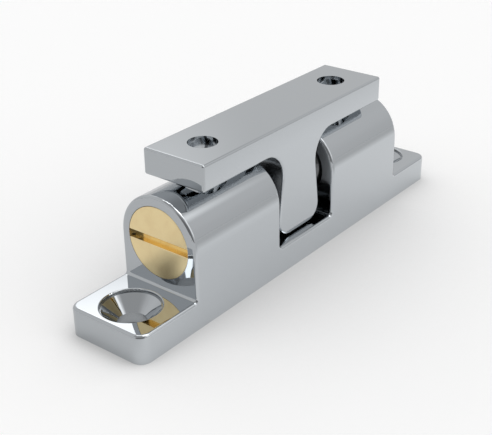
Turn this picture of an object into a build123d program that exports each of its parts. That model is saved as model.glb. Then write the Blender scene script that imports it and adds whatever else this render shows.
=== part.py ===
from build123d import *
import math
import os

# A double ball catch. Two balls on springs face each other across a gap in the case, and the
# tongue of the strike plate snaps in between them. +X runs along the case, +Z points at the
# strike plate, and the origin is the middle of the case's underside. Sizes are in millimetres.

# Case
CASE_LENGTH = 60.0
CASE_WIDTH = 11.1
FOOT_LENGTH = 9.1
FOOT_THICKNESS = 3.55
FOOT_CORNER_RADIUS = 1.4
BARREL_AXIS_HEIGHT = 9.2
GAP_WIDTH = 11.1
GAP_FLOOR_HEIGHT = 3.55
GAP_CORNER_RADIUS = 0.5
HEEL_RADIUS = 0.35
CASE_EDGE_RADIUS = 0.4

# Screw holes in the feet, countersunk from above
FOOT_HOLE_INSET = 4.3
FOOT_HOLE_DIAMETER = 3.4
FOOT_HOLE_EXIT_RADIUS = 0.4
COUNTERSINK_DIAMETER = 7.0
COUNTERSINK_ANGLE = 90.0
COUNTERSINK_LIP_DEPTH = 0.4
COUNTERSINK_LEDGE_WIDTH = 0.15
COUNTERSINK_RIM_RADIUS = 0.16

# Balls, and the lip at the mouth of each bore that keeps its ball in
BALL_DIAMETER = 8.0
BALL_BORE_CLEARANCE = 0.08
BALL_TONGUE_CLEARANCE = 0.05
MOUTH_DIAMETER = 7.74
LIP_THICKNESS = 0.6

# Adjusting screws
SCREW_DIAMETER = 8.66
SCREW_THREAD_CLEARANCE = 0.06
SCREW_LENGTH = 5.0
SCREW_CHAMFER = 0.3
SCREW_SLOT_WIDTH = 1.0
SCREW_SLOT_DEPTH = 1.1
SCREW_WEB_THICKNESS = 1.2
SCREW_TRAVEL_ROOM = 2.0

# Springs, with ground ends
SPRING_OUTER_DIAMETER = 5.4
SPRING_WIRE_DIAMETER = 0.75
SPRING_WIRE_SIDE_COUNT = 8
SPRING_COILS = 4.5
SPRING_END_CLEARANCE = 0.02
SPRING_SEAT_CLEARANCE = 0.2

# Strike plate
STRIKE_LENGTH = 35.8
STRIKE_WIDTH = 8.8
STRIKE_THICKNESS = 3.25
STRIKE_BARREL_GAP = 0.55
STRIKE_EDGE_RADIUS = 0.3
STRIKE_HOLE_INSET = 5.1
STRIKE_HOLE_DIAMETER = 3.56
STRIKE_COUNTERSINK_DIAMETER = 6.8
TONGUE_TIP_CLEARANCE = 0.25
TONGUE_TIP_WIDTH = 8.75
TONGUE_LEAN_ANGLE = 7.0
TONGUE_ROOT_RADIUS = 3.3
TONGUE_TIP_RADIUS = 2.1

# Places that follow from the sizes above
BARREL_TOP = BARREL_AXIS_HEIGHT + CASE_WIDTH / 2
BARREL_END = CASE_LENGTH / 2 - FOOT_LENGTH
FOOT_HOLE = CASE_LENGTH / 2 - FOOT_HOLE_INSET
GAP_WALL = GAP_WIDTH / 2
STRIKE_UNDERSIDE = BARREL_TOP + STRIKE_BARREL_GAP
STRIKE_HOLE = STRIKE_LENGTH / 2 - STRIKE_HOLE_INSET
TONGUE_TIP = GAP_FLOOR_HEIGHT + TONGUE_TIP_CLEARANCE
TONGUE_LEAN = math.radians(TONGUE_LEAN_ANGLE)
TONGUE_TIP_INSET = TONGUE_TIP_RADIUS * (math.tan(TONGUE_LEAN) + 1 / math.cos(TONGUE_LEAN) - 1)
TONGUE_WIDEST = TONGUE_TIP_WIDTH / 2 - TONGUE_TIP_INSET
BALL_RADIUS = BALL_DIAMETER / 2
BALL_CENTRE = TONGUE_WIDEST + BALL_TONGUE_CLEARANCE + BALL_RADIUS
SCREW_INNER_END = BARREL_END - SCREW_LENGTH
SPRING_SEAT = BARREL_END - SCREW_SLOT_DEPTH - SCREW_WEB_THICKNESS
SPRING_INNER_RADIUS = SPRING_OUTER_DIAMETER / 2 - SPRING_WIRE_DIAMETER
BALL_BACK = BALL_CENTRE + math.sqrt(BALL_RADIUS**2 - SPRING_INNER_RADIUS**2)

# Faces that meet at more than this angle meet at an edge, and the case's edges below this height,
# where it lies on the timber, stay sharp. A cutter runs this far past the face that it cuts.
SHARP_ANGLE = 20.0
SHARP_BELOW_HEIGHT = 1.0
OVERRUN = 1.0


def sharp_edges(solid, height):
    """The edges above a height where two faces meet at an angle, without the seams of smooth joins."""
    sharp = []
    for edge in solid.edges():
        middle = edge @ 0.5
        if middle.Z <= height:
            continue
        sides = [face for face in solid.faces() if any(edge.is_same(other) for other in face.edges())]
        normals = [face.normal_at(middle) for face in sides]
        if len(normals) == 2 and normals[0].get_angle(normals[1]) > SHARP_ANGLE:
            sharp.append(edge)
    return sharp


def corners_at(sketch, half_width, height):
    """The two corners of an upright sketch that lie at a height, one on each side of its middle."""
    close = 0.01
    return [
        corner
        for corner in sketch.vertices()
        if abs(abs(corner.X) - half_width) < close and abs(corner.Y - height) < close
    ]


def along_x(radius, start, end):
    """A round bar on the barrel's axis from one X to another."""
    bar = Cylinder(radius, end - start, align=(Align.CENTER, Align.CENTER, Align.MIN))
    return Pos(start, 0, BARREL_AXIS_HEIGHT) * Rot(0, 90, 0) * bar


def other_end(shape):
    """The same piece turned round to serve the left half of the catch."""
    return Rot(0, 0, 180) * shape


def countersunk_hole(hole_diameter, head_diameter, lip_depth, depth):
    """A cutter with its screw head's seat at the origin, opening upwards, and its hole pointing down."""
    hole_radius = hole_diameter / 2
    head_radius = head_diameter / 2
    cone_depth = (head_radius - hole_radius) / math.tan(math.radians(COUNTERSINK_ANGLE / 2))
    half_section = Polyline(
        (0, OVERRUN),
        (head_radius, OVERRUN),
        (head_radius, -lip_depth),
        (hole_radius, -lip_depth - cone_depth),
        (hole_radius, -depth - OVERRUN),
        (0, -depth - OVERRUN),
        close=True,
    )
    return revolve(Plane.XZ * make_face(half_section), Axis.Z)


def case_side_view():
    """Feet, barrel and gap as seen from the side, with the inside corners rounded."""
    view = Pos(0, FOOT_THICKNESS / 2) * Rectangle(CASE_LENGTH, FOOT_THICKNESS)
    view += Pos(0, BARREL_TOP / 2) * Rectangle(2 * BARREL_END, BARREL_TOP)
    view -= Pos(0, GAP_FLOOR_HEIGHT + BARREL_TOP / 2) * Rectangle(GAP_WIDTH, BARREL_TOP)
    view = fillet(corners_at(view, BARREL_END, FOOT_THICKNESS), HEEL_RADIUS)
    return fillet(corners_at(view, GAP_WALL, GAP_FLOOR_HEIGHT), GAP_CORNER_RADIUS)


def case_end_view():
    """Upright sides under a half round back, as seen from the end."""
    view = Pos(0, BARREL_AXIS_HEIGHT / 2) * Rectangle(CASE_WIDTH, BARREL_AXIS_HEIGHT)
    return view + Pos(0, BARREL_AXIS_HEIGHT) * Circle(CASE_WIDTH / 2)


def catch_case():
    """The case: three views extruded and intersected, one round run over every outer edge, then drilled."""
    side = extrude(Plane.XZ * case_side_view(), CASE_WIDTH, both=True)
    end = extrude(Plane.YZ * case_end_view(), CASE_LENGTH, both=True)
    plan = extrude(RectangleRounded(CASE_LENGTH, CASE_WIDTH, FOOT_CORNER_RADIUS), BARREL_TOP + OVERRUN)
    case = side & end & plan
    case = fillet(sharp_edges(case, SHARP_BELOW_HEIGHT), CASE_EDGE_RADIUS)

    screw_bore_radius = SCREW_DIAMETER / 2 + SCREW_THREAD_CLEARANCE
    ball_bore_radius = BALL_RADIUS + BALL_BORE_CLEARANCE
    bore = along_x(screw_bore_radius, SCREW_INNER_END - SCREW_TRAVEL_ROOM, BARREL_END + OVERRUN)
    bore += along_x(ball_bore_radius, GAP_WALL + LIP_THICKNESS, BARREL_END)
    bore += along_x(MOUTH_DIAMETER / 2, GAP_WALL - OVERRUN, BARREL_END)
    case -= bore
    case -= other_end(bore)

    cone_diameter = COUNTERSINK_DIAMETER - 2 * COUNTERSINK_LEDGE_WIDTH
    hole = countersunk_hole(FOOT_HOLE_DIAMETER, cone_diameter, COUNTERSINK_LIP_DEPTH, FOOT_THICKNESS)
    lip_height = COUNTERSINK_LIP_DEPTH + OVERRUN
    lip = Cylinder(COUNTERSINK_DIAMETER / 2, lip_height, align=(Align.CENTER, Align.CENTER, Align.MIN))
    hole += Pos(0, 0, -COUNTERSINK_LIP_DEPTH) * lip
    for x in (-FOOT_HOLE, FOOT_HOLE):
        case -= Pos(x, 0, FOOT_THICKNESS) * hole
    rings = case.edges().filter_by(GeomType.CIRCLE)
    rims = [ring for ring in rings if is_ring(ring, COUNTERSINK_DIAMETER, FOOT_THICKNESS)]
    case = fillet(rims, COUNTERSINK_RIM_RADIUS)
    rings = case.edges().filter_by(GeomType.CIRCLE)
    exits = [ring for ring in rings if is_ring(ring, FOOT_HOLE_DIAMETER, 0)]
    return fillet(exits, FOOT_HOLE_EXIT_RADIUS)


def is_ring(edge, diameter, height):
    """Whether a circular edge is a level ring of this diameter at this height."""
    close = 0.001
    level = abs(edge.bounding_box().size.Z) < close and abs(edge.arc_center.Z - height) < close
    return level and abs(edge.radius - diameter / 2) < close


def ball():
    """The right ball, resting against the widest part of the tongue."""
    return Pos(BALL_CENTRE, 0, BARREL_AXIS_HEIGHT) * Sphere(BALL_RADIUS)


def adjusting_screw():
    """The right screw: a slot across its outer face and a cup for the spring in its inner end."""
    screw = along_x(SCREW_DIAMETER / 2, SCREW_INNER_END, BARREL_END)
    inner_rim = screw.edges().sort_by(Axis.X)[0]
    screw = chamfer(inner_rim, SCREW_CHAMFER)
    cup_radius = SPRING_OUTER_DIAMETER / 2 + SPRING_SEAT_CLEARANCE
    screw -= along_x(cup_radius, SCREW_INNER_END - OVERRUN, SPRING_SEAT)
    slot = Box(2 * SCREW_SLOT_DEPTH, SCREW_DIAMETER + OVERRUN, SCREW_SLOT_WIDTH)
    return screw - Pos(BARREL_END, 0, BARREL_AXIS_HEIGHT) * slot


def spring():
    """The right spring: a helix of wire, its two ends ground flat. Shut in its bore, it gets few facets."""
    start = BALL_BACK + SPRING_END_CLEARANCE
    end = SPRING_SEAT - SPRING_END_CLEARANCE
    length = end - start
    coil_radius = (SPRING_OUTER_DIAMETER - SPRING_WIRE_DIAMETER) / 2
    path = Helix(pitch=length / SPRING_COILS, height=length, radius=coil_radius)
    section = RegularPolygon(SPRING_WIRE_DIAMETER / 2, SPRING_WIRE_SIDE_COUNT)
    wire = Plane(origin=path @ 0, z_dir=path % 0) * section
    coil = sweep(wire, path=path, is_frenet=True)
    ground = Cylinder(SPRING_OUTER_DIAMETER, length, align=(Align.CENTER, Align.CENTER, Align.MIN))
    return Pos(start, 0, BARREL_AXIS_HEIGHT) * Rot(0, 90, 0) * (coil & ground)


def strike_side_view():
    """The bar and its tongue: a dovetail with rounded roots and a rounded tip."""
    tip_half = TONGUE_TIP_WIDTH / 2
    root_half = tip_half - (STRIKE_UNDERSIDE - TONGUE_TIP) * math.tan(TONGUE_LEAN)
    tongue = Polyline(
        (-tip_half, TONGUE_TIP),
        (tip_half, TONGUE_TIP),
        (root_half, STRIKE_UNDERSIDE),
        (-root_half, STRIKE_UNDERSIDE),
        close=True,
    )
    view = make_face(tongue)
    view += Pos(0, STRIKE_UNDERSIDE + STRIKE_THICKNESS / 2) * Rectangle(STRIKE_LENGTH, STRIKE_THICKNESS)
    view = fillet(corners_at(view, root_half, STRIKE_UNDERSIDE), TONGUE_ROOT_RADIUS)
    return fillet(corners_at(view, tip_half, TONGUE_TIP), TONGUE_TIP_RADIUS)


def strike_plate():
    """The strike: its side view at full width, every edge rounded, and two holes countersunk from below."""
    plate = extrude(Plane.XZ * strike_side_view(), STRIKE_WIDTH / 2, both=True)
    plate = fillet(sharp_edges(plate, 0), STRIKE_EDGE_RADIUS)
    hole = countersunk_hole(STRIKE_HOLE_DIAMETER, STRIKE_COUNTERSINK_DIAMETER, 0, STRIKE_THICKNESS)
    for x in (-STRIKE_HOLE, STRIKE_HOLE):
        plate -= Pos(x, 0, STRIKE_UNDERSIDE) * Rot(180, 0, 0) * hole
    return plate


def main():
    pieces = {
        "catch_case": catch_case(),
        "strike_plate": strike_plate(),
        "ball_right": ball(),
        "ball_left": other_end(ball()),
        "spring_right": spring(),
        "spring_left": other_end(spring()),
        "adjusting_screw_right": adjusting_screw(),
        "adjusting_screw_left": other_end(adjusting_screw()),
    }
    os.makedirs("parts", exist_ok=True)
    for name, piece in pieces.items():
        export_step(piece, f"parts/{name}.step")


main()
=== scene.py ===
# %% [markdown]
# # Double ball catch
#
# A double ball catch keeps a cupboard door shut. Its case is screwed to the frame, and in it two
# sprung balls face each other across a gap. The strike plate is screwed to the door, and its
# tongue snaps in between the balls. This lesson takes the catch's solids as they were built, and
# gives them what the real thing has: polished chrome, turned brass, a real thread, wound springs,
# and a studio to reflect.

import math

import bmesh
import bpy
from mathutils import Matrix, Vector


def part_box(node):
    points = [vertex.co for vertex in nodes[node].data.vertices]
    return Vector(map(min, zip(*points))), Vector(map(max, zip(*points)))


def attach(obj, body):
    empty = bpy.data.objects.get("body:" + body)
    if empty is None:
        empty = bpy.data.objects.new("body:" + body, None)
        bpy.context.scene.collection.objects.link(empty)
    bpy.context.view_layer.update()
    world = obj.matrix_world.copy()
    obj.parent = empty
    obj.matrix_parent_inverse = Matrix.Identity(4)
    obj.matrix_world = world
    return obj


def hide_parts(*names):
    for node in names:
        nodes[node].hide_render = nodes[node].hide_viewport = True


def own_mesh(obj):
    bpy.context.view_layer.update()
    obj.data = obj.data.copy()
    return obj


MM = 0.001
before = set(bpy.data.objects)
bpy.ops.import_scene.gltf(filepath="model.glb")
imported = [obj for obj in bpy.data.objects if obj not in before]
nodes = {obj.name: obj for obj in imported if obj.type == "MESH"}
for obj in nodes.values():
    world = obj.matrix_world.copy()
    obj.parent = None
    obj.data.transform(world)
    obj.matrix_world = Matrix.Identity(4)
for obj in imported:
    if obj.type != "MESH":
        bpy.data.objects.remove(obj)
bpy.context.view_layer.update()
print("nodes:", sorted(nodes))

# %% [markdown]
# ## Helpers for objects
#
# In Blender a mesh or a camera is only data until an object in the scene carries it. That takes the
# same few lines each time, so two helpers hold them. The operators of the Add menu do the same, but
# they depend on what is selected, and a script is steadier without that.


# %% Object helpers
def into_scene(name, data):
    """A new object in the scene, which carries this data."""
    made = bpy.data.objects.new(name, data)
    bpy.context.scene.collection.objects.link(made)
    return made


def as_object(bm, name):
    """A mesh in progress, finished and put in the scene as an object."""
    mesh = bpy.data.meshes.new(name)
    bm.to_mesh(mesh)
    bm.free()
    return into_scene(name, mesh)


print("helpers: into_scene, as_object")

# %% [markdown]
# ## The camera
#
# The catch is small, so the camera stands close, 128 mm from the middle of it, a little above and
# off its left front corner. A long lens keeps the far end from shrinking too much. The camera could
# be pointed with a Track To constraint, but three angles say the same thing, stay put, and keep the
# tiny roll that the picture has.

# %% Camera
# Angles in radians, and the lens in millimetres.
EYE = Vector((-90.11, -67.85, 61.43)) * MM
YAW = 0.674425
PITCH = -0.472056
ROLL = -0.016035
LENS = 72.61
NEAREST_SEEN = MM
FARTHEST_SEEN = 20


def look_along(yaw, pitch, roll):
    """The turn of a camera that looks along a direction, given by its yaw from +X and its pitch."""
    level = math.cos(pitch)
    forward = Vector((math.cos(yaw) * level, math.sin(yaw) * level, math.sin(pitch)))
    level_right = Vector((math.sin(yaw), -math.cos(yaw), 0))
    right = math.cos(roll) * level_right + math.sin(roll) * level_right.cross(forward)
    # A camera looks along its own -Z, with X to its right and Y up.
    return Matrix((right, right.cross(forward), -forward)).transposed()


camera = into_scene("camera", bpy.data.cameras.new("camera"))
bpy.context.scene.camera = camera
camera.data.lens = LENS
camera.data.clip_start = NEAREST_SEEN
camera.data.clip_end = FARTHEST_SEEN
camera.matrix_world = Matrix.Translation(EYE) @ look_along(YAW, PITCH, ROLL).to_4x4()

# %% [markdown]
# ## Helpers for shader nodes
#
# Every finish below is a small graph of shader nodes. Wiring each one by hand takes four lines a
# node, so one helper makes a node, sets its options, and fills each input with a fixed value or
# with a link from another node. The other helpers wrap the nodes that are used most.


# %% Node helpers
def add(tree, kind, inputs=None, **options):
    """A new shader node with its options set. Each input is a value or another node's output."""
    made = tree.nodes.new("ShaderNode" + kind)
    for name, option in options.items():
        setattr(made, name, option)
    for socket, given in (inputs or {}).items():
        if isinstance(given, bpy.types.NodeSocket):
            tree.links.new(given, made.inputs[socket])
        else:
            made.inputs[socket].default_value = given
    return made


def math_of(tree, operation, first, second=0.0):
    """The output of a Math node."""
    return add(tree, "Math", {0: first, 1: second}, operation=operation).outputs[0]


def product(tree, first, *rest):
    """Several numbers multiplied."""
    for factor in rest:
        first = math_of(tree, "MULTIPLY", first, factor)
    return first


def between(tree, source, start, end, low=0.0, high=1.0, smooth=True):
    """A number that goes from low to high as its source goes from start to end."""
    kind = "SMOOTHSTEP" if smooth else "LINEAR"
    span = {"Value": source, "From Min": start, "From Max": end, "To Min": low, "To Max": high}
    return add(tree, "MapRange", span, interpolation_type=kind).outputs["Result"]


def blend_of(tree, factor, first, second):
    """A number that goes from a first to a second one with a factor."""
    inputs = {"Factor": factor, "A": first, "B": second}
    return add(tree, "Mix", inputs, data_type="FLOAT").outputs["Result"]


def ramp_of(tree, source, stops):
    """A colour ramp of greys over stops of (place from 0 to 1, grey)."""
    ramp = add(tree, "ValToRGB", {0: source})
    elements = ramp.color_ramp.elements
    # A ramp starts with two stops. New ones wait in the middle until they get their places.
    while len(elements) < len(stops):
        elements.new(0.5)
    for element, (place, grey) in zip(elements, stops):
        element.position = place
        element.color = (grey, grey, grey, 1)
    return ramp.outputs["Color"]


print("helpers: add, math_of, product, between, blend_of, ramp_of")

# %% [markdown]
# ## The studio that the chrome reflects
#
# Chrome has hardly any colour of its own. What the eye reads as chrome is the room in it: a grey
# surround, a dark side behind the camera, and softboxes. The main softbox stands low behind the
# catch, so that it lies mirrored as a white patch on the near foot. Those on the right light the
# barrel's round, and those above draw the white lines along the rounded edges. They could be area
# lamps, but a lamp's mirror image has a knife edge. Here each one is painted into the world as a
# panel with soft borders, so that the reflections fade the way they do on the real thing.

# %% Surround
world = bpy.data.worlds.new("studio")
bpy.context.scene.world = world
world.use_nodes = True
sky = world.node_tree
sky.nodes.clear()
direction = add(sky, "TexCoord").outputs["Generated"]
height = add(sky, "SeparateXYZ", {0: direction}).outputs["Z"]
# Greys from straight below, at 0, over the horizon, at 0.5, to straight above, at 1.
SURROUND = (
    (0.0, 0.64), (0.5, 0.64), (0.60, 0.665), (0.67, 0.70), (0.75, 0.72), (0.80, 0.70),
    (0.835, 0.64), (0.87, 0.51), (0.895, 0.45), (1.0, 0.44),
)
surround = ramp_of(sky, between(sky, height, -1.0, 1.0, smooth=False), SURROUND)
print("surround: grey", SURROUND[0][1], "below and", SURROUND[-1][1], "straight above")

# %% Panel helper
# The least cosine of the angle between a direction and the middle of a panel.
IN_FRONT = 0.01


def panel(behind, bearing, rise, roll, half_size, soft, glow):
    """A soft-edged panel of light in front of what is behind it. Angles are in degrees. Half its
    size and its soft border are in metres, for a panel one metre away."""
    bearing, rise = math.radians(bearing), math.radians(rise)
    toward = Vector(
        (math.cos(bearing) * math.cos(rise), math.sin(bearing) * math.cos(rise), math.sin(rise))
    )
    turn = Matrix.Rotation(math.radians(roll), 3, toward)
    across = turn @ Vector((math.sin(bearing), -math.cos(bearing), 0))
    up = across.cross(toward)
    ahead, *sides = (
        add(sky, "VectorMath", {0: direction, 1: axis}, operation="DOT_PRODUCT").outputs["Value"]
        for axis in (toward, across, up)
    )
    cover = math_of(sky, "GREATER_THAN", ahead, IN_FRONT)
    for side, half, edge in zip(sides, half_size, soft):
        # How far from the panel's middle this direction meets a plane one metre away.
        place = math_of(sky, "ABSOLUTE", math_of(sky, "DIVIDE", side, ahead))
        cover = product(sky, cover, between(sky, place, half + edge, half - edge))
    return blend_of(sky, cover, behind, glow)


print("widest angle to a panel:", round(math.degrees(math.acos(IN_FRONT)), 1), "degrees")

# %% Softboxes
# Each one's bearing, rise, roll, half size, soft border and glow. A later one lies in front.
PANELS = {
    "high fill": (92, 50, 0, (0.55, 0.30), (0.10, 0.10), 0.68),
    "dark camera side": (-140, 15, 0, (0.75, 0.60), (0.15, 0.15), 0.22),
    "softbox spill": (53, 31, 0, (0.20, 0.16), (0.06, 0.06), 0.92),
    "main softbox": (48, 32.5, 0, (0.16, 0.04), (0.08, 0.045), 1.88),
    "softbox above": (53, 38.2, 0, (0.08, 0.032), (0.03, 0.025), 3.0),
    "right softbox": (-64, 28, 0, (0.22, 0.34), (0.05, 0.12), 1.3),
    "upper right softbox": (-55, 45, 0, (0.34, 0.12), (0.08, 0.15), 1.5),
    "top softbox": (-44, 66, 0, (0.26, 0.26), (0.06, 0.06), 3.15),
    "overhead softbox": (42, 71, 0, (0.24, 0.09), (0.04, 0.04), 3.0),
}
shine = surround
for name, setting in PANELS.items():
    shine = panel(shine, *setting)
    print(name, "bearing", setting[0], "rise", setting[1])

# %% [markdown]
# ## A white background
#
# The chrome needs the grey studio, but the picture needs a white background. A large white backdrop
# would do, and would light the catch too. The world's shader can tell the camera's own rays from
# all others, so it shows them plain white and keeps the studio for the rest. Many scenes show the
# white to glossy rays as well, but here that would take away the room that the chrome reflects.

# %% Background
ray = add(sky, "LightPath")
lit = add(sky, "Background", {"Color": shine})
backdrop = add(sky, "Background", {"Color": (1, 1, 1, 1)})
view_mix = add(
    sky, "MixShader", {0: ray.outputs["Is Camera Ray"], 1: lit.outputs[0], 2: backdrop.outputs[0]}
)
add(sky, "OutputWorld", {"Surface": view_mix.outputs[0]})
print("world nodes:", len(sky.nodes))

# %% [markdown]
# ## The floor
#
# The catch stands on white card in an even light from all round, so the card darkens only where the
# catch hides part of that light. Ambient occlusion measures just that, with no lamp and hardly any
# noise. Half of the card's brightness comes from that measure alone, and half is real light that
# falls on it, which keeps the soft shadow of the softboxes. The camera sees the card nearly white.
# In the chrome it shows painted light: a bright strip in front of the catch, which fades to the
# grey of the room and ends past the near foot, and a duller one behind. One plane serves for both,
# because its shader can tell a camera ray from a reflected one.

# %% Card
FLOOR_SIDE = 3.0
floor_bm = bmesh.new()
bmesh.ops.create_grid(floor_bm, x_segments=1, y_segments=1, size=FLOOR_SIDE / 2)
floor = as_object(floor_bm, "floor")
card = bpy.data.materials.new("white_card")
card.use_nodes = True
floor.data.materials.append(card)
print("floor side in m:", FLOOR_SIDE)

# %% Openness
# How far away something can be and still hide light, and how deep the shadow then is, as the
# camera sees it and as the chrome does.
OPEN_DISTANCE = 0.15
OPEN_SAMPLES = 16
SHADOW_DEPTH = 0.66
MIRRORED_DEPTH = 0.35
paper = card.node_tree
paper.nodes.clear()
openness = add(
    paper, "AmbientOcclusion", {"Distance": OPEN_DISTANCE}, samples=OPEN_SAMPLES
).outputs["AO"]
seen_shade = math_of(paper, "POWER", openness, SHADOW_DEPTH)
mirrored_shade = math_of(paper, "POWER", openness, MIRRORED_DEPTH)
print("light is hidden by what is within", OPEN_DISTANCE, "m")

# %% Strip in the chrome
# Painted light, seen only in the chrome: greys across the strip, from its reach behind the catch's
# middle, at 0, to as far in front, at 1.
STRIP_REACH = 0.1
STRIP = (
    (0.0, 0.785), (0.46, 0.785), (0.53, 0.995), (0.63, 0.99), (0.68, 0.83), (0.72, 0.76),
    (0.76, 0.715), (0.80, 0.68), (0.86, 0.665), (1.0, 0.66),
)
# The strip fades out between two places along the catch, and past them the card has one grey.
STRIP_END = (-0.028, -0.038)
PAST_STRIP = 0.745
place = add(paper, "SeparateXYZ", {0: add(paper, "NewGeometry").outputs["Position"]}).outputs
across_strip = between(paper, place["Y"], STRIP_REACH, -STRIP_REACH, smooth=False)
strip = ramp_of(paper, across_strip, STRIP)
ground = blend_of(paper, between(paper, place["X"], *STRIP_END), strip, PAST_STRIP)
mirrored = product(paper, mirrored_shade, ground)
print("the strip ends at x", STRIP_END, "m")

# %% Card's two lights
# The studio lights the card a little less than full white, and the balance makes up for that.
LAMP_SHARE = 0.5
LAMP_BALANCE = 1.09
from_camera = add(paper, "LightPath").outputs["Is Camera Ray"]
level = blend_of(paper, from_camera, mirrored, seen_shade)
even = add(paper, "Emission", {"Strength": product(paper, level, 1 - LAMP_SHARE)})
lamped = add(paper, "BsdfDiffuse", {"Color": product(paper, level, LAMP_SHARE * LAMP_BALANCE)})
both = add(paper, "AddShader", {0: even.outputs[0], 1: lamped.outputs[0]})
add(paper, "OutputMaterial", {"Surface": both.outputs[0]})
print("share of real light on the card:", LAMP_SHARE)

# %% [markdown]
# ## Pieces that the solids only stand for
#
# Case, strike and balls are exact already, and stay. The springs and the adjusting screws are
# simpler as solids than in the hand: the wire has flats, and the thread is a plain cylinder. Their
# real forms are built here as meshes, in the space that each solid holds. Each piece could be
# modelled twice, but both halves of the catch are alike. So it is made once for the right side, and
# a half turn about Z makes the left one.

# %% Placing helpers
SIDES = {"right": Matrix.Identity(3), "left": Matrix.Rotation(math.pi, 3, "Z")}
SHARP_ANGLE = math.radians(35)


def place_piece(bm, name, side, body, solid, finish):
    """A mesh made for the right side becomes an object on this side, moves with its body and
    stands for its solid."""
    bmesh.ops.transform(bm, matrix=SIDES[side].to_4x4(), verts=bm.verts)
    piece = as_object(bm, name)
    piece.data.shade_smooth()
    piece.data.set_sharp_from_angle(angle=SHARP_ANGLE)
    piece.data.materials.append(finish)
    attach(piece, body)
    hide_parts(solid)
    return piece


def close_rings(bm, rings, uv=None, step=0.0, around=0.0):
    """Faces between each ring of points and the next. In a UV layer, U runs along and V around."""
    for row, (ring, after) in enumerate(zip(rings, rings[1:])):
        count = len(ring)
        for i in range(count):
            j = (i + 1) % count
            face = bm.faces.new((ring[i], ring[j], after[j], after[i]))
            if uv:
                corners = ((row, i), (row, i + 1), (row + 1, i + 1), (row + 1, i))
                for loop, (u, v) in zip(face.loops, corners):
                    loop[uv].uv = (u * step, v * around / count)


print("sides:", list(SIDES))

# %% [markdown]
# ## Metals
#
# A metal in Blender is a Principled shader with Metallic at 1, and its colour is that of its
# highlight. What tells chrome from steel and brass, besides colour, is the finish: how the surface
# was made leaves lines in it, and they show as small changes of roughness and of slope. Each finish
# below is worked out from the object's own coordinates in millimetres, so its lines have a real
# size and need no UV map. An image texture could do it, but it would blur up close.

# %% Metal helpers
# The part of 0 to 1 that a noise seldom leaves.
NOISE_SPAN = (0.3, 0.7)


def metal(name, color, roughness):
    """A plain metal, with its node tree and its shader. Its roughness is the middle of a range,
    until the finish links something there."""
    material = bpy.data.materials.new(name)
    material.use_nodes = True
    shader = material.node_tree.nodes["Principled BSDF"]
    shader.inputs["Base Color"].default_value = (*color, 1)
    shader.inputs["Metallic"].default_value = 1.0
    shader.inputs["Roughness"].default_value = sum(roughness) / 2
    return material, material.node_tree, shader


def stretched(tree, point, scale):
    """A point with each of its coordinates multiplied."""
    return add(tree, "VectorMath", {0: point, 1: scale}, operation="MULTIPLY").outputs["Vector"]


def millimetres(tree, scale=(1, 1, 1)):
    """The surface point in millimetres, stretched by a scale along each axis."""
    point = add(tree, "TexCoord").outputs["Object"]
    return stretched(tree, point, [axis / MM for axis in scale])


def noise_of(tree, point, detail, scale=1.0):
    """A cloudy noise at a point, from 0 to 1. Its detail is how many finer layers lie on it."""
    return add(tree, "TexNoise", {"Vector": point, "Scale": scale, "Detail": detail}).outputs["Fac"]


def up_to(tree, source, limit, fade=(0.02, 0.06)):
    """1 up to a limit, and then down to 0 over a fade that starts and ends this far past it."""
    return between(tree, source, limit + fade[1], limit + fade[0])


def past(tree, source, limit, fade):
    """0 up to a limit, and then up to 1 over a fade that starts and ends this far past it."""
    return between(tree, source, limit + fade[0], limit + fade[1])


def two_tones(tree, shader, factor, first, second):
    """The base colour goes from a first to a second colour with a factor."""
    inputs = {"Factor": factor, "A": (*first, 1), "B": (*second, 1)}
    tone = add(tree, "Mix", inputs, data_type="RGBA")
    tree.links.new(tone.outputs["Result"], shader.inputs["Base Color"])


def set_slope(tree, shader, height):
    """A height in metres turned into the slope of the surface."""
    bump = add(tree, "Bump", {"Height": height, "Strength": 1.0, "Distance": 1.0})
    tree.links.new(bump.outputs["Normal"], shader.inputs["Normal"])


print("helpers: metal, stretched, millimetres, noise_of, up_to, past, two_tones, set_slope")

# %% Distances from an axis
screw_low, screw_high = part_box("adjusting_screw_right")
BARREL_AXIS = (screw_low.z + screw_high.z) / 2 / MM


def axis_distance(tree, y, z):
    """How far a point is from the barrel's axis, in millimetres, and its angle round it."""
    above = math_of(tree, "SUBTRACT", z, BARREL_AXIS)
    squares = math_of(tree, "ADD", product(tree, y, y), product(tree, above, above))
    return math_of(tree, "SQRT", squares), math_of(tree, "ARCTAN2", above, y)


def hole_distance(tree, along, y, hole):
    """How far a point is from the axis of the screw hole at this distance from the middle."""
    off = add(tree, "CombineXYZ", {0: math_of(tree, "SUBTRACT", along, hole), 1: y}).outputs[0]
    return add(tree, "VectorMath", {0: off}, operation="LENGTH").outputs["Value"]


print("barrel axis height in mm:", round(BARREL_AXIS, 2))

# %% [markdown]
# ## Polished chrome
#
# Case and strike are plated and then buffed along their length. Buffing leaves hair lines that
# hardly show, and the faintest ripple. The wheel hardly reaches into the screw holes and the mouths
# of the bores, so the plate is duller there. On the walls of the gap and deep in the bores it is as
# it came from the bath. Image textures of a finish would need painting for each part. Here one
# recipe of noise serves both, and masks worked out from the part's own measures do the rest.

# %% Chrome
CHROME_COLOR = (0.53, 0.555, 0.578)
# Roughness from 0, a mirror, to 1.
POLISHED = (0.016, 0.038)
SATIN = 0.24
AS_PLATED = 0.5
# Clouds of noise in a millimetre, along X, Y and Z: long ones make lines.
HAIR_LINE_STRETCH = (0.2, 7, 7)
HAIR_LINE_SPAN = (0.35, 0.68)
HAIR_LINE_HEIGHT = 0.00012 * MM
RIPPLE_SCALE = 0.35
RIPPLE_HEIGHT = 0.0012 * MM


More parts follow.
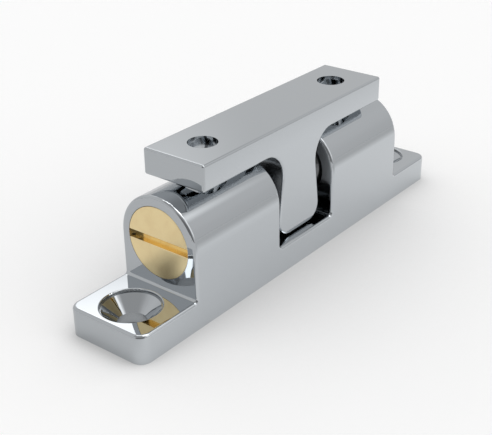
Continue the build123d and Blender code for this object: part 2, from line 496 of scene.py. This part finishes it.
def buffed_chrome(name):
    """Chrome with hair lines along X. Gives its material, tree, shader, roughness and height."""
    material, tree, shader = metal(name, CHROME_COLOR, POLISHED)
    lines = noise_of(tree, millimetres(tree, HAIR_LINE_STRETCH), detail=3.0)
    ripple = noise_of(tree, millimetres(tree), detail=1.0, scale=RIPPLE_SCALE)
    roughness = between(tree, lines, *HAIR_LINE_SPAN, *POLISHED)
    height = math_of(
        tree, "ADD", product(tree, lines, HAIR_LINE_HEIGHT), product(tree, ripple, RIPPLE_HEIGHT)
    )
    return material, tree, shader, roughness, height


print("polished roughness:", POLISHED, "satin:", SATIN, "as plated:", AS_PLATED)

# %% [markdown]
# ## Where the wheel couldn't reach on the case
#
# The case has five such places: its screw holes, the narrow ledge in each countersink, the mouths
# of its bores, the bores themselves, and the walls of its gap. They could be separate materials on
# chosen faces, but then each border would be a hard line. A mask is a number from 0 to 1 with a
# fade between. It is made of the distance from a hole's axis and of heights, so it needs no
# selection of faces. All lengths here are in millimetres, from the case's middle and its underside.

# %% Case masks
# The screw holes in the feet, and the ledge in each countersink.
FOOT_HOLE = 25.7
FOOT_HOLE_RADIUS = 1.7
FOOT_HOLE_TOP = (1.7, 1.4)
COUNTERSINK_RADIUS = 3.5
LEDGE_INNER_FADE = (-0.17, -0.13)
LEDGE_OUTER_FADE = (0.0, 0.04)
LEDGE_TOP = (3.44, 3.38)
LEDGE_UNDERSIDE = (3.1, 3.13)
# The walls of the gap, and the bores that start there.
GAP_WALL = 5.55
GAP_WALL_FADE = (0.02, 0.07)
GAP_DULL_ABOVE = (7.0, 8.6)
BORE_RADIUS = 4.4
BORE_START_FADE = (0.01, 0.07)
BORE_MOUTH = 19.7
BORE_MOUTH_FADE = (-0.1, 0.0)

case_chrome, tree, shader, roughness, height = buffed_chrome("buffed_case_chrome")
x, y, z = add(tree, "SeparateXYZ", {0: millimetres(tree)}).outputs
along = math_of(tree, "ABSOLUTE", x)
reach, angle = axis_distance(tree, y, z)
from_hole = hole_distance(tree, along, y, FOOT_HOLE)
on_gap_wall = product(
    tree, up_to(tree, along, GAP_WALL, GAP_WALL_FADE), between(tree, z, *GAP_DULL_ABOVE)
)
in_bore = product(
    tree, up_to(tree, reach, BORE_RADIUS), past(tree, along, GAP_WALL, BORE_START_FADE)
)
deep_in_bore = product(tree, in_bore, up_to(tree, along, BORE_MOUTH, BORE_MOUTH_FADE))
in_hole = product(
    tree, up_to(tree, from_hole, FOOT_HOLE_RADIUS), between(tree, z, *FOOT_HOLE_TOP)
)
on_ledge = product(
    tree, past(tree, from_hole, COUNTERSINK_RADIUS, LEDGE_INNER_FADE),
    up_to(tree, from_hole, COUNTERSINK_RADIUS, LEDGE_OUTER_FADE),
    between(tree, z, *LEDGE_TOP), between(tree, z, *LEDGE_UNDERSIDE),
)
print("case holes at", FOOT_HOLE, "mm, bore radius", BORE_RADIUS, "mm")

# %% Case finish
# How dark the painted shade on the countersink ledges is, as a share of the chrome's colour.
LEDGE_SHADE = 0.85
TOOL_FEED = 0.25
TOOL_MARK_HEIGHT = 0.015 * MM

satin_places = math_of(tree, "MAXIMUM", in_hole, math_of(tree, "MAXIMUM", on_ledge, in_bore))
plated_places = math_of(tree, "MAXIMUM", on_gap_wall, deep_in_bore)
roughness = blend_of(tree, satin_places, roughness, SATIN)
roughness = blend_of(tree, plated_places, roughness, AS_PLATED)
tree.links.new(roughness, shader.inputs["Roughness"])
# Painted shade: the base colour is darker on the ledge in each countersink, which draws a dark ring
# there.
painted_ledge_shade = [LEDGE_SHADE * part for part in CHROME_COLOR]
two_tones(tree, shader, on_ledge, CHROME_COLOR, painted_ledge_shade)
# The boring tool leaves a ridge that rises and falls once a turn, on its way along the bore.
tool_turn = math_of(
    tree, "SUBTRACT", math_of(tree, "DIVIDE", x, TOOL_FEED),
    math_of(tree, "DIVIDE", angle, math.tau),
)
ridge = math_of(tree, "PINGPONG", tool_turn, 0.5)
tool_marks = product(tree, ridge, TOOL_MARK_HEIGHT, deep_in_bore)
set_slope(tree, shader, math_of(tree, "ADD", height, tool_marks))
print("tool marks every", TOOL_FEED, "mm along the bore")

# %% [markdown]
# ## Where the wheel couldn't reach on the strike
#
# The strike is polished all over, but for its screw holes and the narrow sides of its tongue, which
# face the balls. One set of masks could serve both parts if they were alike. Here the recipe for
# chrome is shared, and each part has masks with its own measures.

# %% Strike finish
STRIKE_HOLE = 12.8
STRIKE_HOLE_RADIUS = 1.78
HOLE_DULLING = 0.35
TONGUE_ROOT = (15.6, 15.3)
TONGUE_FACE = (4.3, 4.1)
TONGUE_REACH = (6.6, 5.6)

strike_chrome, tree, shader, roughness, height = buffed_chrome("buffed_strike_chrome")
x, y, z = add(tree, "SeparateXYZ", {0: millimetres(tree)}).outputs
along = math_of(tree, "ABSOLUTE", x)
on_tongue = product(
    tree, between(tree, z, *TONGUE_ROOT),
    between(tree, math_of(tree, "ABSOLUTE", y), *TONGUE_FACE),
    between(tree, along, *TONGUE_REACH),
)
in_hole = up_to(tree, hole_distance(tree, along, y, STRIKE_HOLE), STRIKE_HOLE_RADIUS)
satin_places = math_of(tree, "MAXIMUM", on_tongue, product(tree, in_hole, HOLE_DULLING))
tree.links.new(blend_of(tree, satin_places, roughness, SATIN), shader.inputs["Roughness"])
set_slope(tree, shader, height)
print("strike holes at", STRIKE_HOLE, "mm")

# %% [markdown]
# ## Ground steel
#
# The balls are hardened steel, ground and lapped in every direction at once, so their finish has no
# grain. Fine scratches could be drawn one by one, but at this size they melt into a faint mottle,
# and a noise with the same size in every direction is just that.

# %% Ball steel
# The balls' colour is far darker than that of bare steel.
BALL_COLOR = (0.15, 0.154, 0.158)
BALL_ROUGHNESS = (0.16, 0.24)
MOTTLE_SCALE = 2.5
MOTTLE_HEIGHT = 0.0002 * MM

ball_steel, tree, shader = metal("ground_ball_steel", BALL_COLOR, BALL_ROUGHNESS)
mottle = noise_of(tree, millimetres(tree), detail=4.0, scale=MOTTLE_SCALE)
tree.links.new(between(tree, mottle, *NOISE_SPAN, *BALL_ROUGHNESS), shader.inputs["Roughness"])
set_slope(tree, shader, product(tree, mottle, MOTTLE_HEIGHT))
print("balls:", ball_steel.name)

# %% [markdown]
# ## Drawn wire
#
# Spring wire is drawn through a die, which leaves fine lines along the wire and a duller skin. The
# lines must follow the wire round its turns, and the object's own coordinates can't do that. So
# this one finish reads the wire's own UV map, with U along it and V around it.

# %% Spring steel
WIRE_COLOR = (0.40, 0.40, 0.41)
WIRE_ROUGHNESS = (0.24, 0.38)
DRAWN_STRETCH = (0.6, 16.0, 1.0)
DRAWN_LINE_HEIGHT = 0.003 * MM

spring_steel, tree, shader = metal("drawn_spring_steel", WIRE_COLOR, WIRE_ROUGHNESS)
wire_map = add(tree, "UVMap", uv_map="wire").outputs["UV"]
lines = noise_of(tree, stretched(tree, wire_map, DRAWN_STRETCH), detail=2.0)
tree.links.new(between(tree, lines, *NOISE_SPAN, *WIRE_ROUGHNESS), shader.inputs["Roughness"])
set_slope(tree, shader, product(tree, lines, DRAWN_LINE_HEIGHT))
print("springs:", spring_steel.name)

# %% [markdown]
# ## Turned brass
#
# The adjusting screws are parted off a brass bar in a lathe. The tool leaves rings round the centre
# of the face, and they spread its highlight. Here a one-dimensional noise over the distance from
# the axis draws them: on the face they are rings, and on the thread, where the distance hardly
# changes, they fade away by themselves. A wave texture would space them too evenly. The slot is
# milled, which leaves it smoother, and handling leaves a little tarnish.

# %% Brass
CLEAN_BRASS = (0.97, 0.79, 0.45)
TARNISHED_BRASS = (0.91, 0.72, 0.40)
FACE_ROUGHNESS = (0.28, 0.32)
SLOT_ROUGHNESS = 0.12
SLOT_WIDTH = 1.0 * MM
SLOT_FADE = (0.0, 0.03)
SLOT_MOUTH = (20.88, 20.8)
RINGS_PER_MM = 9.0
RING_HEIGHT = 0.0001 * MM
TARNISH_SCALE = 0.55
TARNISH_SPAN = (0.4, 0.75)

screw_brass, tree, shader = metal("turned_screw_brass", CLEAN_BRASS, FACE_ROUGHNESS)
x, y, z = add(tree, "SeparateXYZ", {0: millimetres(tree)}).outputs
from_axis = product(tree, axis_distance(tree, y, z)[0], RINGS_PER_MM)
rings = add(
    tree, "TexNoise", {"W": from_axis, "Scale": 1.0, "Detail": 3.0}, noise_dimensions="1D"
).outputs["Fac"]
off_middle = math_of(tree, "ABSOLUTE", math_of(tree, "SUBTRACT", z, BARREL_AXIS))
in_slot = product(
    tree, up_to(tree, off_middle, SLOT_WIDTH / 2 / MM, SLOT_FADE),
    between(tree, math_of(tree, "ABSOLUTE", x), *SLOT_MOUTH),
)
on_face = between(tree, rings, *NOISE_SPAN, *FACE_ROUGHNESS)
tree.links.new(blend_of(tree, in_slot, on_face, SLOT_ROUGHNESS), shader.inputs["Roughness"])
set_slope(tree, shader, product(tree, rings, RING_HEIGHT))
tarnish = noise_of(tree, millimetres(tree), detail=4.0, scale=TARNISH_SCALE)
tarnished = between(tree, tarnish, *TARNISH_SPAN)
two_tones(tree, shader, tarnished, CLEAN_BRASS, TARNISHED_BRASS)
print("screws:", screw_brass.name)

# %% [markdown]
# ## Finishes on the exact solids
#
# Case, strike and balls keep the meshes from model.glb. A finish could be assigned face by face,
# but each of these pieces is one metal all over, so it goes into the object's one slot.

# %% Finishes of the exact solids
for name, finish in {
    "catch_case": case_chrome,
    "strike_plate": strike_chrome,
    "ball_left": ball_steel,
    "ball_right": ball_steel,
}.items():
    nodes[name].material_slots[0].material = finish
    print(name, "is", finish.name)

# %% [markdown]
# ## The springs
#
# Each ball is pushed out by a compression spring of round wire. The last turn at each end lies
# closed on the next one and is ground square, so that the spring stands straight on its seat. A
# curve with a bevel could make the wire, but it couldn't be ground. So a ring of points is carried
# along the helix, and each point that would stand past an end is pressed back to it, as grinding
# does.

# %% Climb of the wire
WIRE_DIAMETER = 0.75 * MM
SPRING_TURNS = 4.5
CLOSED_TURNS = 0.75
OPENING_TURNS = 0.5
OPEN_EXTRA_RISE = 2.2
STEPS_PER_TURN = 36
spring_low, spring_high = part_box("spring_right")
spring_length = spring_high.x - spring_low.x
coil_radius = (spring_high.z - spring_low.z - WIRE_DIAMETER) / 2
axis_height = BARREL_AXIS * MM
steps = int(SPRING_TURNS * STEPS_PER_TURN)


def rise_at(step):
    """How steeply the wire climbs: least where the turns are closed, smoothly more between them."""
    turn = step / STEPS_PER_TURN
    from_end = min(turn, SPRING_TURNS - turn)
    opened = min(max((from_end - CLOSED_TURNS) / OPENING_TURNS, 0), 1)
    return 1 + OPEN_EXTRA_RISE * opened * opened * (3 - 2 * opened)


climb = [0.0]
for step in range(steps):
    climb.append(climb[-1] + rise_at(step + 0.5))
stations = [spring_low.x + spring_length * risen / climb[-1] for risen in climb]
print("spring length in mm:", round(spring_length / MM, 2), "steps:", steps)

# %% Wire
WIRE_SIDES = 14


def wind_wire(first, last, low_x, high_x):
    """The wire of the right spring from one step to another, cut flat at a lowest and highest X."""
    bm = bmesh.new()
    uv = bm.loops.layers.uv.new("wire")
    rings = []
    for step in range(first, last + 1):
        angle = math.tau * step / STEPS_PER_TURN
        outward = Vector((0, math.cos(angle), math.sin(angle)))
        centre = Vector((stations[step], 0, axis_height)) + outward * coil_radius
        # The wire's direction here, from the step before this one to the step after it.
        ahead = stations[min(step + 1, steps)] - stations[max(step - 1, 0)]
        sweep = 2 * math.tau / STEPS_PER_TURN * coil_radius
        tangent = Vector((ahead, -sweep * math.sin(angle), sweep * math.cos(angle))).normalized()
        across = tangent.cross(outward)
        ring = []
        for side in range(WIRE_SIDES):
            turn = math.tau * side / WIRE_SIDES
            spoke = outward * math.cos(turn) + across * math.sin(turn)
            point = centre + spoke * WIRE_DIAMETER / 2
            point.x = min(max(point.x, low_x), high_x)
            ring.append(bm.verts.new(point))
        rings.append(ring)
    step_length = math.tau * coil_radius / STEPS_PER_TURN / MM
    close_rings(bm, rings, uv, step_length, math.pi * WIRE_DIAMETER / MM)
    bm.faces.new(rings[0])
    bm.faces.new(rings[-1])
    bmesh.ops.recalc_face_normals(bm, faces=bm.faces)
    return bm


print("wire diameter in mm:", WIRE_DIAMETER / MM, "turns:", SPRING_TURNS)

# %% [markdown]
# ## Springs that shorten
#
# Both ends of a spring move: the ball pushes one in, and the screw the other. One piece can only
# shorten towards one end. So each spring is two pieces that meet in the plane of its middle, which
# stays where it is, and each half shortens with its own end. The same pressing back that grinds the
# ends makes the flat cut between the halves.

# %% Spring halves
CUT_STEPS = 7
middle = steps // 2
middle_x = stations[middle]
for side, turn in SIDES.items():
    spring = "spring_" + side
    ball_half = place_piece(
        wind_wire(0, middle + CUT_STEPS, spring_low.x, middle_x),
        "spring_ball_end_" + side, side, "case", spring, spring_steel,
    )
    screw_half = place_piece(
        wind_wire(middle - CUT_STEPS, steps, middle_x, spring_high.x),
        "spring_screw_end_" + side, side, spring, spring, spring_steel,
    )
    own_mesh(ball_half)
    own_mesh(screw_half)

# %% [markdown]
# ## The adjusting screws
#
# A threaded brass plug closes each bore. Turned in with a screwdriver, it presses the spring harder
# on the ball. Its thread could be one long sweep of a profile along a helix, which is hard to close
# at its ends. It is simpler to start from the plug's skin, as a grid of points round the axis, and
# to sink each point of the wall by the thread's depth at its own angle and place. The grooves then
# close by themselves, and they run out to nothing at both rims.

# %% Thread
THREAD_PITCH = 0.75 * MM
THREAD_DEPTH = 0.4 * MM
THREAD_CREST = 4.375 * MM
FLANK_STEEPNESS = 2.6
CREST_SHARE = 0.35
OUTER_RUN_OUT = 0.5 * MM
INNER_RUN_OUT = 0.4 * MM
THREAD_SIDES = 96
outer_x, inner_x = screw_high.x, screw_low.x


def groove_depth(x, angle):
    """How deep the thread has sunk the wall here: flat crests, sloping flanks and narrow roots."""
    # From 0 in the middle of the crest to 0.5, half a turn of the thread on, in the root.
    phase = (x / THREAD_PITCH - angle / math.tau) % 1.0
    from_crest = 0.5 - abs(phase - 0.5)
    sunk = min(max(from_crest * FLANK_STEEPNESS - CREST_SHARE, 0), 1)
    run_out = min((outer_x - x) / OUTER_RUN_OUT, (x - inner_x) / INNER_RUN_OUT, 1)
    return THREAD_DEPTH * sunk * max(run_out, 0)


def skin_ring(bm, x, radius, threaded=False):
    """A ring of points round the barrel's axis."""
    ring = []
    for i in range(THREAD_SIDES):
        angle = math.tau * i / THREAD_SIDES
        r = radius - (groove_depth(x, angle) if threaded else 0)
        ring.append(bm.verts.new((x, r * math.cos(angle), axis_height + r * math.sin(angle))))
    return ring


print("thread pitch in mm:", THREAD_PITCH / MM, "crest radius:", THREAD_CREST / MM)

# %% Turned blank
EDGE_BREAK = 0.05 * MM
CHAMFER = 0.35 * MM
CUP_RADIUS = 2.9 * MM
SEAT_GAP = 0.02 * MM
STEPS_PER_PITCH = 12


def turn_screw():
    """The right screw without its slot: outer face, thread, chamfer and the cup for the spring."""
    bm = bmesh.new()
    rings = [skin_ring(bm, outer_x, THREAD_CREST - EDGE_BREAK)]
    wall_start, wall_end = outer_x - EDGE_BREAK, inner_x + CHAMFER
    rows = math.ceil((wall_start - wall_end) / THREAD_PITCH * STEPS_PER_PITCH)
    for row in range(rows + 1):
        x = wall_start + (wall_end - wall_start) * row / rows
        rings.append(skin_ring(bm, x, THREAD_CREST, threaded=True))
    rings.append(skin_ring(bm, inner_x, THREAD_CREST - CHAMFER))
    rings.append(skin_ring(bm, inner_x, CUP_RADIUS + EDGE_BREAK))
    rings.append(skin_ring(bm, inner_x + EDGE_BREAK, CUP_RADIUS))
    rings.append(skin_ring(bm, spring_high.x + SEAT_GAP, CUP_RADIUS))
    close_rings(bm, rings)
    bm.faces.new(rings[0])
    bm.faces.new(rings[-1])
    bmesh.ops.recalc_face_normals(bm, faces=bm.faces)
    return bm


blank = as_object(turn_screw(), "screw_blank")
print("blank length in mm:", round((outer_x - inner_x) / MM, 2))

# %% [markdown]
# ## The slot
#
# The slot for the screwdriver is milled right across the face, and its edges are broken. It could
# be modelled into the grid of points, but they stand in rings, and the slot runs straight through
# them. So a Boolean cuts it with a bar whose flared mouth leaves the broken edge. The cut leaves
# flat faces with dozens of corners. They are split into even triangles, because an exporter that
# splits them in its own way can leave slivers.

# %% Slot cutter
SLOT_DEPTH = 1.1 * MM
SLOT_FLARE = 0.07 * MM
PAST_FACE = 1.0 * MM
CUTTER_REACH = 6 * MM


def slot_cutter():
    """A bar along Y with the slot's section, a little wider at the mouth."""
    half = SLOT_WIDTH / 2
    upper = (
        (outer_x - SLOT_DEPTH, half),
        (outer_x - SLOT_FLARE, half),
        (outer_x + PAST_FACE, half + SLOT_FLARE + PAST_FACE),
    )
    section = upper + tuple((x, -z) for x, z in reversed(upper))
    bm = bmesh.new()
    ends = [
        [bm.verts.new((x, y, axis_height + z)) for x, z in section]
        for y in (-CUTTER_REACH, CUTTER_REACH)
    ]
    close_rings(bm, ends)
    for end in ends:
        bm.faces.new(end)
    bmesh.ops.recalc_face_normals(bm, faces=bm.faces)
    return bm


cutter = as_object(slot_cutter(), "slot_cutter")
print("slot width in mm:", SLOT_WIDTH / MM, "depth:", round(SLOT_DEPTH / MM, 2))

# %% Slotted screws
cut = blank.modifiers.new("slot", "BOOLEAN")
cut.object = cutter
cut.solver = "EXACT"
bpy.context.view_layer.update()
finished_blank = blank.evaluated_get(bpy.context.evaluated_depsgraph_get())
slotted = bpy.data.meshes.new_from_object(finished_blank)
for scrap in (blank, cutter):
    bpy.data.objects.remove(scrap)
for side in SIDES:
    bm = bmesh.new()
    bm.from_mesh(slotted)
    many_sided = [face for face in bm.faces if len(face.verts) > 4]
    bmesh.ops.triangulate(bm, faces=many_sided, ngon_method="BEAUTY")
    node = "adjusting_screw_" + side
    screw = place_piece(bm, "threaded_" + node, side, node, node, screw_brass)
    print(screw.name, "faces", len(screw.data.polygons))

# %% [markdown]
# ## The view
#
# The Standard view shows each colour about as it is written. A filmic view would look softer, and
# would turn the white card grey.

# %% View
bpy.context.scene.view_settings.view_transform = "Standard"
